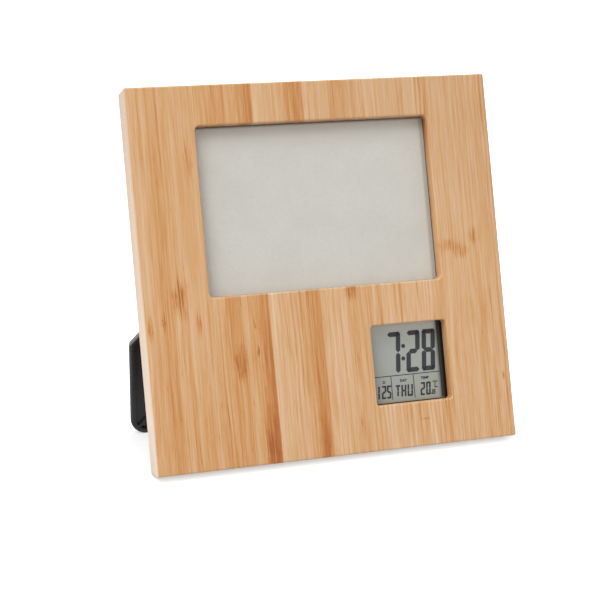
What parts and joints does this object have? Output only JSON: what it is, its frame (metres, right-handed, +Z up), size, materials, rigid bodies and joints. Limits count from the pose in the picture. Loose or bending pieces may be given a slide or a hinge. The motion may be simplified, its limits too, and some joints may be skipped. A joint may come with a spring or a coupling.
{
  "type": "photo frame clock",
  "caption": "Square bamboo picture frame that leans on a folding U-shaped stand, with a landscape photo window and a small LCD clock and thermometer at its lower right.",
  "frame": {"origin": "on the floor, at the middle of the space that the standing frame takes up", "axes": "+Z up, the face towards -Y and leaning back, +X to the right as seen from the front"},
  "size_m": [0.183, 0.0751, 0.1798],
  "materials": {
    "bamboo": "satin lacquer over laminated bamboo",
    "clear_acrylic": "polished clear acrylic",
    "grey_card": "matte paper-faced card",
    "soft_board": "soft pulp board",
    "hardboard": "dark hardboard, smooth face",
    "steel": "zinc-plated steel",
    "black_plastic": "finely textured black plastic",
    "button_plastic": "dark grey plastic",
    "display": "matte liquid crystal display",
    "contact_rubber": "silicone contact strip",
    "circuit_green": "solder-masked board",
    "black_resin": "potting resin drop",
    "nickel": "nickel plate",
    "brass": "brass disc"
  },
  "bodies": {
    "frame": {"bamboo_frame": "bamboo", "photo_pane": "clear_acrylic", "grey_card": "grey_card", "spacer_pad": "soft_board", "back_board": "hardboard", "turn_button_screws": "steel", "clock_case": "black_plastic", "display_glass": "display", "connector_strips": "contact_rubber", "circuit_board": "circuit_green", "clock_chip": "black_resin", "quartz_crystal": "nickel", "temperature_sensor": "black_resin", "alarm_buzzer": "brass", "push_switches": "nickel", "rear_cover": "black_plastic", "coin_cell": "nickel", "contact_minus": "nickel", "contact_plus": "nickel", "case_screws": "steel", "ear_screws": "steel", "hinge_leaf_left": "steel", "hinge_leaf_right": "steel", "hinge_pin_left": "steel", "hinge_pin_right": "steel", "hinge_screws": "steel"},
    "battery_cover": {"battery_cover": "black_plastic"},
    "turn_button_1": {"turn_button_1": "steel"},
    "turn_button_2": {"turn_button_2": "steel"},
    "turn_button_3": {"turn_button_3": "steel"},
    "turn_button_4": {"turn_button_4": "steel"},
    "mode_button": {"mode_button": "button_plastic"},
    "set_button": {"set_button": "button_plastic"},
    "up_button": {"up_button": "button_plastic"},
    "down_button": {"down_button": "button_plastic"},
    "stand": {"stand": "black_plastic"}
  },
  "joints": [
    {"name": "stand_fold", "type": "hinge", "parent": "frame", "child": "stand", "pos_m": [0, 0.02026, 0.13757], "axis": [1, 0, 0], "range_deg": [-22.8, 0]},
    {"name": "turn_button_1_turn", "type": "hinge", "parent": "frame", "child": "turn_button_1", "pos_m": [-0.0645, -0.00199, 0.06526], "axis": [0, 0.9588, -0.284], "range_deg": [0, 90]},
    {"name": "turn_button_2_turn", "type": "hinge", "parent": "frame", "child": "turn_button_2", "pos_m": [0.0645, -0.00199, 0.06526], "axis": [0, 0.9588, -0.284], "range_deg": [-90, 0]},
    {"name": "turn_button_3_turn", "type": "hinge", "parent": "frame", "child": "turn_button_3", "pos_m": [-0.0645, 0.02878, 0.16915], "axis": [0, 0.9588, -0.284], "range_deg": [-90, 0]},
    {"name": "turn_button_4_turn", "type": "hinge", "parent": "frame", "child": "turn_button_4", "pos_m": [0.0645, 0.02878, 0.16915], "axis": [0, 0.9588, -0.284], "range_deg": [0, 90]},
    {"name": "mode_press", "type": "slide", "parent": "frame", "child": "mode_button", "axis": [0, -0.9588, 0.284], "range_m": [0, 0.0004], "stiffness_N_per_m": 600},
    {"name": "set_press", "type": "slide", "parent": "frame", "child": "set_button", "axis": [0, -0.9588, 0.284], "range_m": [0, 0.0004], "stiffness_N_per_m": 600},
    {"name": "up_press", "type": "slide", "parent": "frame", "child": "up_button", "axis": [0, -0.9588, 0.284], "range_m": [0, 0.0004], "stiffness_N_per_m": 600},
    {"name": "down_press", "type": "slide", "parent": "frame", "child": "down_button", "axis": [0, -0.9588, 0.284], "range_m": [0, 0.0004], "stiffness_N_per_m": 600},
    {"name": "battery_cover_twist", "type": "hinge", "parent": "frame", "child": "battery_cover", "pos_m": [0.04435, -0.01281, 0.03509], "axis": [0, 0.9588, -0.284], "range_deg": [0, 45]}
  ]
}
